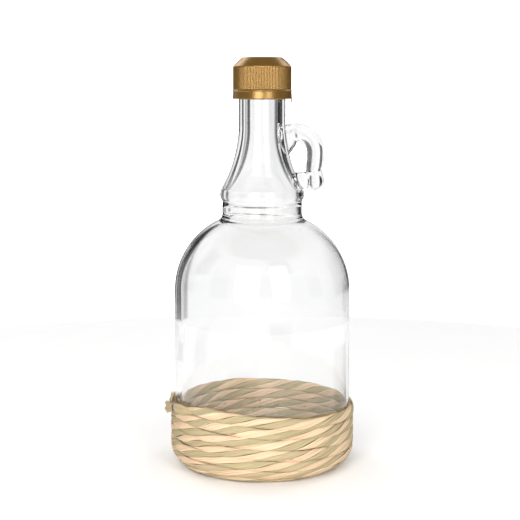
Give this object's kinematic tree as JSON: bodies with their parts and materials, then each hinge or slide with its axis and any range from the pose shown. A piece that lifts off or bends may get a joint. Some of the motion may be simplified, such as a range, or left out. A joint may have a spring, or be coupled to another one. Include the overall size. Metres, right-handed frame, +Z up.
{
  "type": "glass jug with screw cap",
  "caption": "Clear glass jug with a ring handle on the neck, a gold screw cap with tamper band, and a basket of coiled twisted palm rope round its base.",
  "frame": {"origin": "middle of the circle that the coiled rope base rests on, on the ground plane", "axes": "+Z up along the jug's axis through the mouth; +X out through the ring handle"},
  "size_m": [0.114, 0.1093, 0.2409],
  "materials": {
    "clear_glass": "gloss",
    "palm_rope": "matte",
    "cap_plastic": "satin",
    "liner_plastic": "matte",
    "staple_steel": "satin"
  },
  "bodies": {
    "jug": {"glass_bottle": "clear_glass", "glass_handle": "clear_glass", "rope_lap_01": "palm_rope", "rope_lap_02": "palm_rope", "rope_lap_03": "palm_rope", "rope_lap_04": "palm_rope", "rope_lap_05": "palm_rope", "rope_lap_06": "palm_rope", "rope_lap_07": "palm_rope", "rope_lap_08": "palm_rope", "rope_lap_09": "palm_rope", "rope_lap_10": "palm_rope", "rope_lap_11": "palm_rope", "rope_lap_12": "palm_rope", "rope_lap_13": "palm_rope", "rope_end_tail": "palm_rope", "leaf_tip": "palm_rope", "end_staple": "staple_steel"},
    "liner": {"cap_liner": "liner_plastic"},
    "cap": {"cap_shell": "cap_plastic"},
    "band": {"tamper_band": "cap_plastic"}
  },
  "joints": [
    {"name": "cap_lift", "type": "slide", "parent": "jug", "child": "liner", "axis": [0, 0, 1], "range_m": [0, 0.0191]},
    {"name": "cap_turn", "type": "hinge", "parent": "liner", "child": "cap", "pos_m": [0, 0, 0.2285], "axis": [0, 0, 1], "range_deg": [0, 2160]},
    {"name": "band_turn", "type": "hinge", "parent": "jug", "child": "band", "pos_m": [0, 0, 0.2195], "axis": [0, 0, 1], "continuous": true}
  ],
  "couplings": [
    {"joint": "cap_lift", "follows": "cap_turn", "m_per_rad": 0.00050532}
  ]
}
